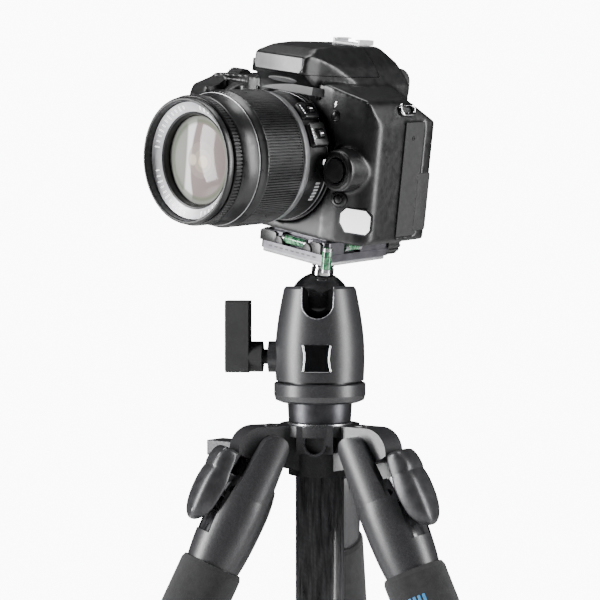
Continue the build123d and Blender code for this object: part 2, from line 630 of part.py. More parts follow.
def inner_barrel():
    low, high = HOOD_HEAD
    return turned(
        [
            (26.6, 12.0), (INNER_TUBE_RADIUS, 12.0), (INNER_TUBE_RADIUS, low), (HOOD_HEAD_RADIUS, low),
            (HOOD_HEAD_RADIUS, high - 0.8), (HOOD_HEAD_RADIUS - 0.8, high), (29.7, high),
            (29.7, FOCUS_RING[1] + 0.4), (FRONT_RIM_RADIUS, FOCUS_RING[1] + 0.4),
            (FRONT_RIM_RADIUS, LENS_LENGTH - 0.5), (FRONT_RIM_RADIUS - 0.5, LENS_LENGTH),
            (FILTER_RADIUS, LENS_LENGTH), (FILTER_RADIUS, 63.4), (23.4, 61.4), (23.4, 56.0), (26.6, 54.0),
        ]
    )


def focus_ring():
    low, high = FOCUS_RING
    ring = tube(FOCUS_RING_RADIUS, 30.05, low, high)
    return ring - ribs(FOCUS_RING_RADIUS, low + 0.6, high - 0.6, 72, 0.9, 0.5)


def front_glass():
    dome = Pos(0, 0, 61.5 - 60.0) * Sphere(60.0)
    return dome & rod(FRONT_GLASS_RADIUS + 0.38, 56.2, 70.0)


# ---- write one file per node ----
def all_parts():
    parts = {
        "spider_casting": spider_casting(),
        "leg_pivot_bolts": leg_pivot_bolts(),
        "column_lock_knob": column_lock_knob(),
        "column_tube": column_tube(),
        "column_top_plate": column_top_plate(),
        "column_hook": column_hook(),
        "pan_base": pan_base(),
        "ball_housing": ball_housing(),
        "ball_seat": ball_seat(),
        "ball": ball(),
        "ball_stem": ball_stem(),
        "lock_lever": lock_lever(),
        "clamp_body": clamp_body(),
        "clamp_knob": clamp_knob(),
        "quick_plate": quick_plate(),
        "spirit_levels": spirit_levels(),
    }
    for name, azimuth in LEG_AZIMUTHS.items():
        parts.update(leg_parts(name, azimuth))
    on_camera = camera_shells()
    on_camera["hot_shoe"] = hot_shoe()
    on_camera["eyecup"] = eyecup()
    on_camera["shutter_button"] = shutter_button()
    on_camera["mode_dial"] = mode_dial()
    on_camera["control_dial"] = control_dial()
    on_camera["release_button"] = release_button()
    on_camera["port_cover"] = port_cover()
    on_camera["lens_mount_ring"] = lens_mount_ring()
    on_lens = {
        "lens_barrel": lens_barrel(),
        "zoom_ring": zoom_ring(),
        "inner_barrel": inner_barrel(),
        "focus_ring": focus_ring(),
        "front_glass": front_glass(),
    }
    for node, shape in on_camera.items():
        parts[node] = camera_frame() * shape
    for node, shape in on_lens.items():
        parts[node] = camera_frame() * lens_frame() * shape
    return parts


for node, shape in all_parts().items():
    export_step(shape, f"parts/{node}.step")
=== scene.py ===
import json
import math

import bmesh
import bpy
from mathutils import Matrix, Vector
from mathutils.bvhtree import BVHTree

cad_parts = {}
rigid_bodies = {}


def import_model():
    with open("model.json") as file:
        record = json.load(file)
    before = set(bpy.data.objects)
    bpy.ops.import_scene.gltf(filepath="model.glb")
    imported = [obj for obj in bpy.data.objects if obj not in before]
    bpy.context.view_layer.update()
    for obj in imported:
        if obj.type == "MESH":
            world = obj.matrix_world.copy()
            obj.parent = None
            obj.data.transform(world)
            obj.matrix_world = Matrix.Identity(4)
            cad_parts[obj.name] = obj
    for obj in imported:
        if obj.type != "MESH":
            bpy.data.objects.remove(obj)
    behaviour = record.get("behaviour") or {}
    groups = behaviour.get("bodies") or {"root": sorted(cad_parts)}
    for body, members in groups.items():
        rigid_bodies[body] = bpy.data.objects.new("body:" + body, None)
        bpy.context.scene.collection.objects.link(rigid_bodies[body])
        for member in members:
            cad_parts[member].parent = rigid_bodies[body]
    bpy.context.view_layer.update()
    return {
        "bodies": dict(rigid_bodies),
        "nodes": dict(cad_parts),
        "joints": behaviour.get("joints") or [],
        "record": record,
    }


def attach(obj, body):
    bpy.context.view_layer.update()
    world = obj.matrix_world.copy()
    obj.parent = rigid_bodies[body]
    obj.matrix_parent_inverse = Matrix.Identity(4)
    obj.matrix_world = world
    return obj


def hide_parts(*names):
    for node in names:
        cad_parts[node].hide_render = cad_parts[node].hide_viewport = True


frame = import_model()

MM = 0.001
BODIES = frame["bodies"]
NODES = frame["nodes"]
JOINTS = {joint["name"]: joint for joint in frame["joints"]}
SCENE = bpy.context.scene

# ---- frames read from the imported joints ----
# The ball's centre is the pivot of the stem's spin; the camera's own axes follow from its joints.
BALL_CENTRE = Vector(JOINTS["ball_stem_spin"]["pos_m"])
CAMERA_UP = Vector(JOINTS["ball_stem_spin"]["axis"]).normalized()
CAMERA_BACK = Vector(JOINTS["release_press"]["axis"]).normalized()
CAMERA_PORT = CAMERA_BACK.cross(CAMERA_UP).normalized()
CAMERA_SEAT = 44.4 * MM
STEM_OFFSET = 5.0 * MM
HEAD_DATUM = BALL_CENTRE.z + 2.4 * MM


def axes_matrix(x_axis, y_axis, z_axis, origin):
    turn = Matrix((x_axis, y_axis, z_axis)).transposed()
    return Matrix.Translation(origin) @ turn.to_4x4()


# Camera frame: x to its left side, -y forward, z up, millimetres from the base under the lens axis.
CAMERA_FRAME = axes_matrix(
    CAMERA_PORT,
    CAMERA_BACK,
    CAMERA_UP,
    BALL_CENTRE + CAMERA_UP * CAMERA_SEAT + CAMERA_BACK * STEM_OFFSET,
) @ Matrix.Scale(MM, 4)
# Lens frame: z forward from the flange along the lens axis, y up.
FLANGE = -44.0
LENS_AXIS = 39.0
LENS_FRAME = CAMERA_FRAME @ Matrix.Translation((0, FLANGE, LENS_AXIS)) @ Matrix.Rotation(math.radians(90), 4, "X")
HEAD_FRAME = Matrix.Translation((0, 0, HEAD_DATUM)) @ Matrix.Rotation(math.radians(4), 4, "Z") @ Matrix.Scale(MM, 4)


def leg_frame(name):
    # Leg frame: z up along the leg from its hinge, x outward, y along the hinge pin.
    spread = JOINTS[f"leg_{name}_spread"]
    y_axis = -Vector(spread["axis"]).normalized()
    z_axis = -Vector(JOINTS[f"leg_{name}_middle_slide"]["axis"]).normalized()
    x_axis = y_axis.cross(z_axis)
    return axes_matrix(x_axis, y_axis, z_axis, Vector(spread["pos_m"])) @ Matrix.Scale(MM, 4)


# ---- materials ----
class Shader:
    """A node material with a Principled shader and helpers for procedural detail."""

    def __init__(self, name, colour, roughness=0.5, metallic=0.0, coat=0.0, specular=0.5):
        self.material = bpy.data.materials.new(name)
        self.material.use_nodes = True
        self.tree = self.material.node_tree
        self.shader = self.tree.nodes["Principled BSDF"]
        self.shader.inputs["Base Color"].default_value = (*colour, 1.0)
        self.shader.inputs["Roughness"].default_value = roughness
        self.shader.inputs["Metallic"].default_value = metallic
        self.shader.inputs["Coat Weight"].default_value = coat
        self.shader.inputs["Specular IOR Level"].default_value = specular
        self.place = self.tree.nodes.new("ShaderNodeTexCoord").outputs["Object"]
        self.heights = []

    def node(self, kind, **inputs):
        made = self.tree.nodes.new(kind)
        for key, value in inputs.items():
            socket = made.inputs[key.replace("_", " ")]
            if isinstance(value, bpy.types.NodeSocket):
                self.tree.links.new(value, socket)
            else:
                socket.default_value = value
        return made

    def noise(self, size_mm, detail=2.0, stretch=(1, 1, 1)):
        spread = self.node("ShaderNodeMapping", Vector=self.place, Scale=stretch)
        made = self.node("ShaderNodeTexNoise", Vector=spread.outputs[0], Scale=1000.0 / size_mm, Detail=detail)
        return made.outputs["Fac"]

    def cells(self, size_mm, feature="F1"):
        made = self.node("ShaderNodeTexVoronoi", Vector=self.place, Scale=1000.0 / size_mm)
        made.feature = feature
        return made.outputs["Distance"]

    def remap(self, value, low, high, to_low, to_high):
        made = self.node("ShaderNodeMapRange", Value=value)
        for key, number in zip(("From Min", "From Max", "To Min", "To Max"), (low, high, to_low, to_high)):
            made.inputs[key].default_value = number
        return made.outputs["Result"]

    def blend(self, factor, first, second):
        made = self.tree.nodes.new("ShaderNodeMix")
        made.data_type = "RGBA"
        self.tree.links.new(factor, made.inputs["Factor"])
        for socket, value in ((made.inputs[6], first), (made.inputs[7], second)):
            if isinstance(value, bpy.types.NodeSocket):
                self.tree.links.new(value, socket)
            else:
                socket.default_value = (*value, 1.0)
        return made.outputs[2]

    def colour(self, socket):
        self.tree.links.new(socket, self.shader.inputs["Base Color"])

    def roughness(self, socket):
        self.tree.links.new(socket, self.shader.inputs["Roughness"])

    def bump(self, height, strength, distance_mm):
        made = self.node("ShaderNodeBump", Height=height, Strength=strength, Distance=distance_mm * MM)
        if self.heights:
            self.tree.links.new(self.heights[-1], made.inputs["Normal"])
        self.heights.append(made.outputs["Normal"])
        self.tree.links.new(made.outputs["Normal"], self.shader.inputs["Normal"])

    def edges(self):
        """1 on convex edges, 0 elsewhere; grained_plastic lightens them as edge wear, latch_metal as a painted
        highlight.
        """
        geometry = self.tree.nodes.new("ShaderNodeNewGeometry")
        return self.remap(geometry.outputs["Pointiness"], 0.53, 0.62, 0.0, 1.0)


def grained_plastic(name, colour, lighter, roughness, grain_mm, grain_depth, wear=0.0):
    look = Shader(name, colour, roughness)
    cloud = look.remap(look.noise(9.0, 3.0), 0.3, 0.7, 0.0, 1.0)
    tint = look.blend(cloud, colour, lighter)
    if wear:
        tint = look.blend(look.remap(look.edges(), 0, 1, 0, wear), tint, tuple(4 * part for part in lighter))
    look.colour(tint)
    look.roughness(look.remap(look.noise(3.0, 4.0), 0.3, 0.7, roughness - 0.05, roughness + 0.06))
    look.bump(look.noise(grain_mm, 2.0), 0.35, grain_depth)
    return look.material


def cast_metal():
    look = Shader("cast_metal", (0.024, 0.024, 0.026), 0.34, metallic=0.25, specular=0.75)
    speck = look.remap(look.noise(0.34, 2.0), 0.42, 0.66, 0.0, 1.0)
    patches = look.remap(look.noise(14.0, 3.0), 0.3, 0.7, 0, 1)
    cloud = look.blend(patches, (0.014, 0.014, 0.0155), (0.021, 0.021, 0.0225))
    look.colour(look.blend(speck, cloud, (0.05, 0.05, 0.054)))
    look.roughness(look.remap(look.noise(0.6, 3.0), 0.3, 0.7, 0.31, 0.43))
    look.bump(look.noise(0.34, 2.0), 0.28, 0.05)
    return look.material


def foam_rubber():
    look = Shader("foam_rubber", (0.022, 0.022, 0.023), 0.9, specular=0.3)
    pores = look.cells(0.55)
    patches = look.remap(look.noise(5.0, 4.0), 0.3, 0.7, 0, 1)
    look.colour(look.blend(patches, (0.008, 0.008, 0.0085), (0.016, 0.016, 0.017)))
    look.bump(look.remap(pores, 0.0, 0.6, 0.0, 1.0), 0.5, 0.12)
    look.bump(look.noise(1.6, 3.0), 0.35, 0.15)
    look.shader.inputs["Sheen Weight"].default_value = 0.12
    look.shader.inputs["Sheen Roughness"].default_value = 0.6
    return look.material


def carbon_tube():
    look = Shader("carbon_tube", (0.03, 0.03, 0.034), 0.34, coat=0.65)
    look.shader.inputs["Coat Roughness"].default_value = 0.16
    streak = look.noise(1.5, 3.0, stretch=(1.0, 1.0, 0.09))
    wave = look.node("ShaderNodeTexWave", Vector=look.place, Scale=190.0, Distortion=5.0, Detail=2.0)
    wave.bands_direction = "DIAGONAL"
    mixed = look.blend(look.remap(streak, 0.4, 0.62, 0, 1), (0.006, 0.006, 0.007), (0.05, 0.05, 0.055))
    look.colour(look.blend(look.remap(wave.outputs["Fac"], 0.2, 0.8, 0.0, 0.4), mixed, (0.02, 0.02, 0.023)))
    look.roughness(look.remap(streak, 0.3, 0.7, 0.26, 0.5))
    look.bump(streak, 0.15, 0.04)
    return look.material


def anodised(name, dark, light, roughness):
    look = Shader(name, light, roughness, metallic=0.9)
    look.colour(look.blend(look.remap(look.noise(6.0, 3.0), 0.3, 0.7, 0, 1), dark, light))
    look.roughness(look.remap(look.noise(0.5, 3.0), 0.3, 0.7, roughness - 0.06, roughness + 0.08))
    look.bump(look.noise(0.3, 2.0), 0.12, 0.03)
    return look.material


def bright_metal(name, colour, roughness):
    look = Shader(name, colour, roughness, metallic=1.0)
    smear = look.noise(3.0, 4.0)
    look.roughness(look.remap(smear, 0.35, 0.7, roughness * 0.6, roughness + 0.08))
    look.bump(look.noise(0.8, 3.0), 0.05, 0.02)
    return look.material


def coated_glass(name, colour):
    look = Shader(name, colour, 0.0)
    look.shader.inputs["Transmission Weight"].default_value = 1.0
    look.shader.inputs["IOR"].default_value = 1.5
    look.roughness(look.remap(look.noise(12.0, 3.0), 0.4, 0.8, 0.0, 0.02))
    return look.material


def level_fluid():
    look = Shader("level_fluid", (0.05, 0.22, 0.1), 0.06, coat=1.0)
    cloud = look.remap(look.noise(2.6, 2.0), 0.4, 0.62, 0, 1)
    look.colour(look.blend(cloud, (0.02, 0.1, 0.05), (0.16, 0.42, 0.22)))
    look.roughness(look.remap(look.noise(5.0, 2.0), 0.3, 0.7, 0.04, 0.1))
    look.bump(look.noise(2.2, 2.0), 0.05, 0.02)
    return look.material


LOOKS = {
    "casting": cast_metal(),
    "soft_black": grained_plastic("lever_rubber", (0.012, 0.012, 0.0125), (0.018, 0.018, 0.019), 0.62, 0.35, 0.09),
    "body_black": grained_plastic("body_plastic", (0.005, 0.005, 0.0055), (0.007, 0.007, 0.0075), 0.34, 0.22, 0.02),
    "lens_black": grained_plastic("lens_plastic", (0.004, 0.004, 0.0045), (0.006, 0.006, 0.0065), 0.32, 0.2, 0.015),
    "black_plastic": grained_plastic("dial_plastic", (0.008, 0.008, 0.0085), (0.013, 0.013, 0.014), 0.42, 0.25, 0.03),
    "rubber_black": grained_plastic("black_rubber", (0.009, 0.009, 0.0095), (0.014, 0.014, 0.0145), 0.66, 0.4, 0.06),
    "inner_plastic": grained_plastic("seat_plastic", (0.04, 0.04, 0.04), (0.06, 0.06, 0.06), 0.6, 0.4, 0.05),
    "ball_black": grained_plastic("ball_gloss", (0.004, 0.004, 0.0045), (0.006, 0.006, 0.0065), 0.14, 3.0, 0.004),
    "foam": foam_rubber(),
    "carbon": carbon_tube(),
    "anodised_grey": anodised("collar_metal", (0.055, 0.055, 0.06), (0.085, 0.085, 0.092), 0.38),
    "clamp_grey": anodised("clamp_metal", (0.1, 0.098, 0.11), (0.15, 0.147, 0.162), 0.34),
    "latch_grey": anodised("latch_metal", (0.12, 0.12, 0.125), (0.17, 0.17, 0.178), 0.36),
    "chrome": bright_metal("polished_chrome", (0.82, 0.82, 0.84), 0.07),
    "bolt_steel": bright_metal("bolt_steel", (0.5, 0.5, 0.51), 0.28),
    "polished_metal": bright_metal("polished_metal", (0.6, 0.6, 0.62), 0.2),
    "level_glass": level_fluid(),
    "lens_glass": coated_glass("lens_glass", (0.93, 0.9, 0.93)),
}


def dress_frame():
    slots = {row["node"]: row["material_slot"] for row in frame["record"]["subparts"]}
    for node, thing in NODES.items():
        thing.data.materials.clear()
        thing.data.materials.append(LOOKS[slots[node]])
    # The hot shoe takes the pale shoe colour, a painted reflection standing for its bright chrome.
    NODES["hot_shoe"].data.materials[0] = SHOE
    NODES["column_lock_knob"].data.materials[0] = KNOB


def marked(name, colour, roughness, metallic=0.0, coat=0.0, glow=0.0):
    look = Shader(name, colour, roughness, metallic=metallic, coat=coat)
    # glow sets an emission in the mark's colour: painted light, the mark glows though it is no lamp.
    look.shader.inputs["Emission Color"].default_value = (*colour, 1.0)
    look.shader.inputs["Emission Strength"].default_value = glow
    shade = tuple(part * 0.82 for part in colour)
    look.colour(look.blend(look.remap(look.noise(4.0, 3.0), 0.3, 0.7, 0, 1), shade, colour))
    look.roughness(look.remap(look.noise(1.2, 3.0), 0.3, 0.7, roughness * 0.85, min(roughness * 1.2 + 0.01, 1.0)))
    look.bump(look.noise(0.4, 2.0), 0.12, 0.02)
    return look.material


# White marks and the blank label glow strongly, pale marks faintly: painted light on the print.
WHITE = marked("white_mark", (0.86, 0.86, 0.87), 0.4, glow=2.2)
PALE_MARK = marked("pale_mark", (0.42, 0.42, 0.43), 0.45, glow=0.15)
# Pale plastic of the hump plate, also the colour of the painted highlight on the brow.
PALE_BLACK = marked("pale_plate_and_painted_highlight", (0.16, 0.16, 0.165), 0.32)
GREY_PLATE = marked("mirror_plate", (0.085, 0.085, 0.088), 0.4)
SATIN = marked("satin_black", (0.009, 0.009, 0.0095), 0.3)
DARK = marked("recess_black", (0.004, 0.004, 0.0045), 0.4)
GLOSS = marked("gloss_black", (0.004, 0.004, 0.0045), 0.1, coat=0.3)
BAND = marked("silver_band", (0.3, 0.3, 0.31), 0.34, metallic=0.85)
NAME_RING = marked("name_ring", (0.62, 0.62, 0.65), 0.36, metallic=0.35)
PALE_METAL = marked("pale_metal", (0.5, 0.5, 0.52), 0.26, metallic=0.95)
KNOB = marked("knob_metal", (0.045, 0.045, 0.048), 0.36, metallic=0.5)
# Pale, mostly non-metallic colour for the chrome hot shoe: a painted reflection instead of a mirror finish.
SHOE = marked("shoe_metal", (0.75, 0.75, 0.77), 0.3, metallic=0.25)
SILVER = marked("tray_silver", (0.5, 0.5, 0.52), 0.22, metallic=0.5)
# The blue print glows faintly: painted light.
BLUE = marked("blue_print", (0.03, 0.2, 0.42), 0.6, glow=0.12)
SCREEN = marked("screen_glass", (0.012, 0.013, 0.016), 0.08, coat=0.6)


def latch_metal():
    look = Shader("latch_skin_metal", (0.05, 0.05, 0.053), 0.34, metallic=0.45)
    base = look.blend(look.remap(look.noise(5.0, 3.0), 0.3, 0.7, 0, 1), (0.03, 0.03, 0.0325), (0.055, 0.055, 0.058))
    # Convex edges are lightened to pale metal: a painted highlight along the paddle's edges.
    look.colour(look.blend(look.remap(look.edges(), 0.1, 0.7, 0, 1), base, (0.36, 0.36, 0.38)))
    look.roughness(look.remap(look.noise(0.6, 3.0), 0.3, 0.7, 0.28, 0.42))
    look.bump(look.noise(0.34, 2.0), 0.18, 0.03)
    return look.material


LATCH = latch_metal()


def painted_reflection_element():
    """The coated front glass as an opaque surface: a bright streak, a rose field, warm rings and rim bands are
    painted reflections in its colour.
    """
    look = Shader("painted_reflection_element", (0.2, 0.2, 0.2), 0.1, specular=0.25)
    place = look.node("ShaderNodeAttribute")
    place.attribute_name = "lens_place"
    parts = look.node("ShaderNodeSeparateXYZ", Vector=place.outputs["Vector"])

    def distance(x, y):
        away = look.node("ShaderNodeVectorMath", Vector=place.outputs["Vector"])
        away.operation = "MULTIPLY_ADD"
        away.inputs[1].default_value = (1, 1, 0)
        away.inputs[2].default_value = (-x, -y, 0)
        size = look.node("ShaderNodeVectorMath", Vector=away.outputs[0])
        size.operation = "LENGTH"
        return size.outputs["Value"]

    # Painted reflection: the streak, the rose field, the warm rings and the rim bands below are colour, not light
    # seen through the glass.
    bow = look.node("ShaderNodeMath")
    bow.operation = "SUBTRACT"
    look.tree.links.new(distance(-52.0, 0.0), bow.inputs[0])
    bow.inputs[1].default_value = 45.0
    field = look.blend(look.remap(bow.outputs[0], -1.2, 0.4, 0, 1), (0.2, 0.2, 0.185), (0.62, 0.6, 0.59))
    field = look.blend(look.remap(parts.outputs["X"], -4.6, -3.4, 0, 1), field, (0.2, 0.165, 0.16))
    field = look.blend(look.remap(distance(3.0, 0.5), 9.4, 8.6, 0, 0.55), field, (0.27, 0.23, 0.21))
    field = look.blend(look.remap(distance(4.0, 0.2), 6.0, 5.4, 0, 0.6), field, (0.34, 0.29, 0.24))
    field = look.blend(look.remap(distance(4.6, 0.0), 3.4, 2.6, 0, 0.8), field, (0.5, 0.42, 0.31))
    field = look.blend(look.remap(distance(-2.6, 0.0), 3.2, 2.2, 0, 0.75), field, (0.52, 0.46, 0.36))
    rim = distance(0.0, 0.0)
    field = look.blend(look.remap(rim, 17.6, 19.0, 0, 0.75), field, (0.1, 0.125, 0.085))
    field = look.blend(look.remap(rim, 19.6, 20.6, 0, 0.8), field, (0.19, 0.19, 0.175))
    field = look.blend(look.remap(rim, 21.3, 22.0, 0, 1), field, (0.015, 0.015, 0.015))
    look.colour(field)
    look.roughness(look.remap(look.noise(9.0, 3.0), 0.3, 0.8, 0.04, 0.1))
    look.bump(look.noise(14.0, 2.0), 0.02, 0.02)
    return look.material


# ---- building pieces ----
def place_piece(name, corners, faces, frame_matrix, body, look, sharp=35, replaced=()):
    mesh = bpy.data.meshes.new(name)
    mesh.from_pydata([tuple(frame_matrix @ Vector(corner)) for corner in corners], [], faces)
    shape = bmesh.new()
    shape.from_mesh(mesh)
    bmesh.ops.recalc_face_normals(shape, faces=shape.faces)
    shape.to_mesh(mesh)
    shape.free()
    return finish_piece(name, mesh, body, look, sharp, replaced)


def finish_piece(name, mesh, body, look, sharp=35, replaced=()):
    mesh.shade_smooth()
    mesh.set_sharp_from_angle(angle=math.radians(sharp))
    mesh.materials.clear()
    mesh.materials.append(look)
    piece = bpy.data.objects.new(name, mesh)
    SCENE.collection.objects.link(piece)
    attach(piece, body)
    if replaced:
        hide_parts(*replaced)
    return piece


def lathe(name, profile, frame_matrix, body, look, steps=144, ribs=None, replaced=()):
    """A turned solid from (radius, height[, groove depth]) points; ribs are cut where a groove depth is given."""
    steps = ribs * 6 if ribs else steps
    corners = []
    for radius, height, *groove in profile:
        depth = groove[0] if groove else 0.0
        for index in range(steps):
            angle = math.tau * index / steps
            local = radius - (depth if index % 6 in (3, 4) else 0.0)
            corners.append((local * math.cos(angle), local * math.sin(angle), height))
    faces = []
    count = len(profile)
    for ring in range(count):
        upper = (ring + 1) % count
        for index in range(steps):
            after = (index + 1) % steps
            faces.append((ring * steps + index, ring * steps + after, upper * steps + after, upper * steps + index))
    return place_piece(name, corners, faces, frame_matrix, body, look, 32, replaced)


def ring_faces(count, layers):
    """Quads between stacked rings of corners, with both ends closed."""
    faces = []
    for layer in range(layers - 1):
        for index in range(count):
            after = (index + 1) % count
            start = layer * count
            faces.append((start + index, start + after, start + count + after, start + count + index))
    faces.append(tuple(range(count)))
    faces.append(tuple((layers - 1) * count + index for index in range(count)))
    return faces


def rounded_outline(width, height, radius, steps=6):
    points = []
    for turn, (sign_x, sign_y) in enumerate(((1, 1), (-1, 1), (-1, -1), (1, -1))):
        for step in range(steps + 1):
            angle = math.radians(90 * (turn + step / steps))
            points.append(
                (
                    sign_x * (width / 2 - radius) + radius * math.cos(angle),
                    sign_y * (height / 2 - radius) + radius * math.sin(angle),
                )
            )
    return points


def slab(name, outline, frame_matrix, low, high, edge, body, look):
    """A plate cut to an outline in the frame's XY plane, with a rounded rim on its upper side."""
    layers = [(1.0, low), (1.0, high - edge)]
    extent = max(max(abs(x), abs(y)) for x, y in outline)
    for step in (1, 2, 3):
        angle = math.radians(30 * step)
        layers.append((1.0 - edge * (1 - math.cos(angle)) / extent, high - edge + edge * math.sin(angle)))
    corners = [(x * scale, y * scale, height) for scale, height in layers for x, y in outline]
    faces = ring_faces(len(outline), len(layers))
    return place_piece(name, corners, faces, frame_matrix, body, look, 40)


def bent_rod(name, path, radius, frame_matrix, body, look, closed=False):
    curve = bpy.data.curves.new(name, "CURVE")
    curve.dimensions = "3D"
    curve.bevel_depth = radius * MM
    curve.bevel_resolution = 4
    line = curve.splines.new("NURBS")
    line.points.add(len(path) - 1)
    for point, place in zip(line.points, path):
        point.co = (*(frame_matrix @ Vector(place)), 1.0)
    line.use_cyclic_u = closed
    line.use_endpoint_u = True
    line.order_u = 3
    line.resolution_u = 10
    holder = bpy.data.objects.new(name + "_path", curve)
    SCENE.collection.objects.link(holder)
    mesh = bpy.data.meshes.new_from_object(holder.evaluated_get(bpy.context.evaluated_depsgraph_get()))
    bpy.data.objects.remove(holder)
    mesh.name = name
    return finish_piece(name, mesh, body, look)


def eased_mesh(name, nodes, grain, rounds):
    """One closed skin over CAD solids, with their hard corners eased."""
    joined = bmesh.new()
    for node in nodes:
        joined.from_mesh(NODES[node].data)
    mesh = bpy.data.meshes.new(name)
    joined.to_mesh(mesh)
    joined.free()
    raw = bpy.data.objects.new(name + "_raw", mesh)
    SCENE.collection.objects.link(raw)
    remesh = raw.modifiers.new("remesh", "REMESH")
    remesh.mode = "VOXEL"
    remesh.voxel_size = grain * MM
    smooth = raw.modifiers.new("ease", "SMOOTH")
    smooth.factor = 0.5
    smooth.iterations = rounds
    made = bpy.data.meshes.new_from_object(raw.evaluated_get(bpy.context.evaluated_depsgraph_get()))
    bpy.data.objects.remove(raw)
    return made


def soft_skin(name, nodes, body, look, grain, rounds):
    made = eased_mesh(name + "_mesh", nodes, grain, rounds)
    made.name = name
    return finish_piece(name, made, body, look, 180, nodes)


def surface_of(piece):
    shape = bmesh.new()
    shape.from_mesh(piece.data)
    tree = BVHTree.FromBMesh(shape)
    shape.free()
    return tree


def stick(tree, frame_matrix, start, direction, up=(0, 0, 1), lift=0.0):
    """A millimetre frame on the surface met by a ray, z along the surface's normal."""
    turn = frame_matrix.to_3x3()
    heading = (turn @ Vector(direction)).normalized()
    spot, normal, *_ = tree.ray_cast(frame_matrix @ Vector(start), heading)
    if normal.dot(heading) > 0:
        normal = -normal
    x_axis = (turn @ Vector(up)).cross(normal).normalized()
    return axes_matrix(x_axis, normal.cross(x_axis), normal, spot + normal * lift * MM) @ Matrix.Scale(MM, 4)


FRONT, BACK, SIDE, DOWN = (0, 1, 0), (0, -1, 0), (-1, 0, 0), (0, 0, -1)


# ---- camera body ----
def cut_mesh(mesh, room_mesh, operation):
    """The part of a mesh inside or outside of a room."""
    room = bpy.data.objects.new("room", room_mesh)
    raw = bpy.data.objects.new("raw", mesh.copy())
    SCENE.collection.objects.link(room)
    SCENE.collection.objects.link(raw)
    cut = raw.modifiers.new("cut", "BOOLEAN")
    cut.operation = operation
    cut.solver = "EXACT"
    cut.object = room
    made = bpy.data.meshes.new_from_object(raw.evaluated_get(bpy.context.evaluated_depsgraph_get()))
    bpy.data.objects.remove(raw)
    bpy.data.objects.remove(room)
    return made


def button_well(radius, front, floor):
    """The room that the lens release is pressed into."""
    middle = Matrix.Translation((42.4, (front + floor) / 2, 38.0)) @ Matrix.Rotation(math.radians(90), 4, "X")
    drum = bmesh.new()
    seat = CAMERA_FRAME @ middle
    depth = floor - front
    bmesh.ops.create_cone(drum, cap_ends=True, segments=64, radius1=radius, radius2=radius, depth=depth, matrix=seat)
    room_mesh = bpy.data.meshes.new("well")
    drum.to_mesh(room_mesh)
    drum.free()
    return room_mesh


def cut_skin(name, mesh, gap, operation, body, nodes):
    """The part of the camera's skin inside or outside of the flash head's room."""
    corners = [(x, y, z) for x in (-60, 60) for y in (-90, -4.4 + gap) for z in (82.6 - gap, 130)]
    faces = [(0, 1, 3, 2), (4, 6, 7, 5), (0, 4, 5, 1), (2, 3, 7, 6), (0, 2, 6, 4), (1, 5, 7, 3)]
    room_mesh = bpy.data.meshes.new("room")
    room_mesh.from_pydata([tuple(CAMERA_FRAME @ Vector(corner)) for corner in corners], [], faces)
    made = cut_mesh(mesh, room_mesh, operation)
    made.name = name
    return finish_piece(name, made, body, LOOKS["body_black"], 40, nodes)


def body_skins():
    shells = ["front_shell", "rear_shell", "top_cover"]
    whole = eased_mesh("whole_skin", shells + ["flash_head"], 0.72, 22)
    whole = cut_mesh(whole, button_well(6.35, -52.4, -44.4), "DIFFERENCE")
    shell = cut_skin("body_skin", whole, 0.3, "DIFFERENCE", "camera", shells)
    head = cut_skin("flash_skin", whole, 0.0, "INTERSECT", "flash", ["flash_head"])
    return surface_of(shell), surface_of(head)


def screw(name, seat, radius, body):
    profile = [(radius, -0.6), (radius, 0.15), (radius - 0.25, 0.35), (radius * 0.45, 0.35), (radius * 0.45, -0.2)]
    lathe(name, profile + [(0.02, -0.2), (0.02, -0.6)], seat, body, DARK, steps=32)


